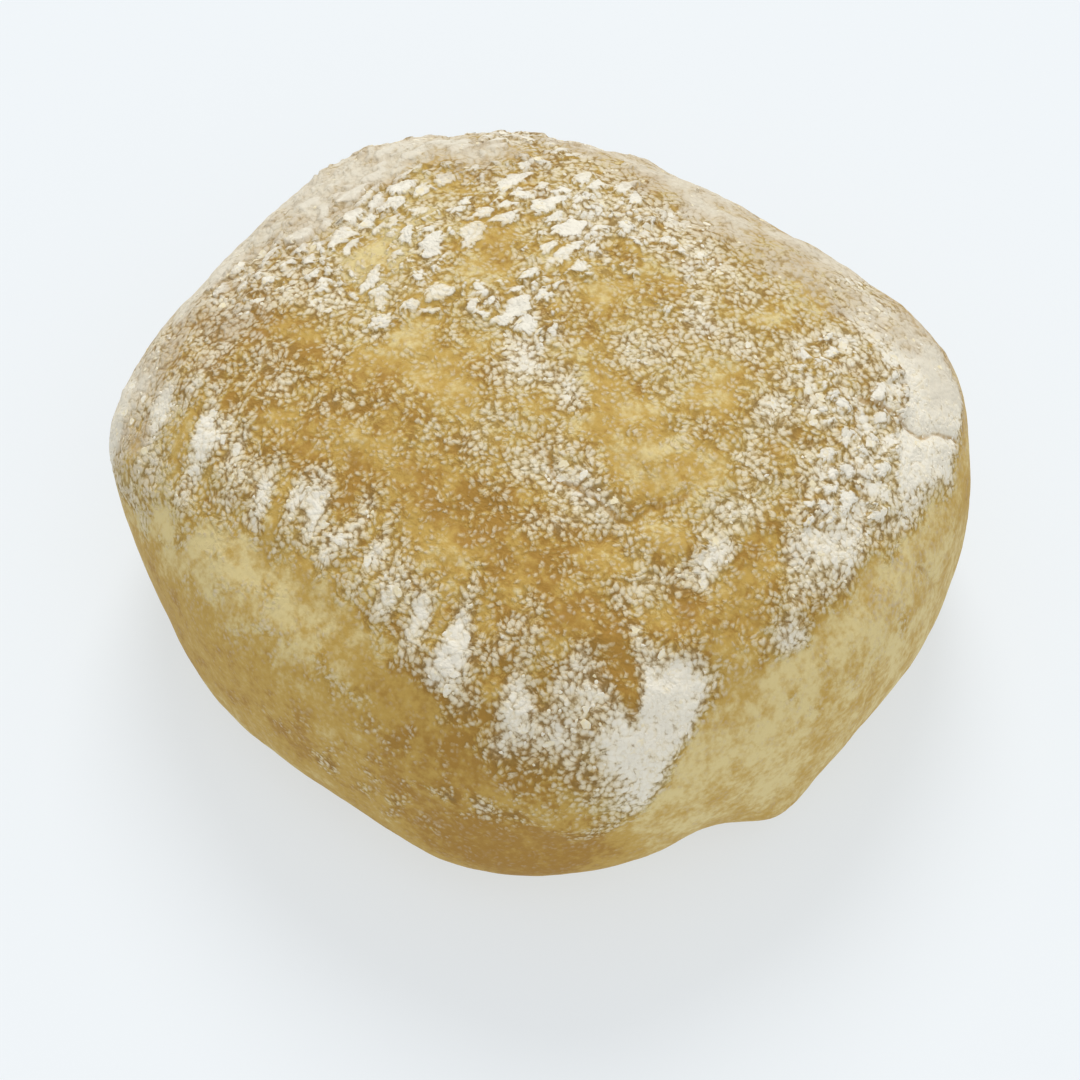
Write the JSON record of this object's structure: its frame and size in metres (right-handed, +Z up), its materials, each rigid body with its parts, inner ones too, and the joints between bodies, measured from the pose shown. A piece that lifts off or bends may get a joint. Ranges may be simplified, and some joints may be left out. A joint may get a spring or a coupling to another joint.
{
  "type": "bread roll",
  "caption": "Flour-dusted bread roll: a soft rounded-square pillow with a domed floury top, stretched golden sides and a flat baked base to rest on.",
  "frame": {"origin": "on the table under the middle of the roll's bounding box", "axes": "+Z up from the flat baked base; +X along the longer side of the rounded square; the corner between -Y and +X faces the viewer of the picture"},
  "size_m": [0.1062, 0.0994, 0.0508],
  "materials": {
    "crust": "dry matt golden crust dusted and caked with pale flour"
  },
  "bodies": {
    "root": {"roll": "crust"}
  },
  "joints": []
}
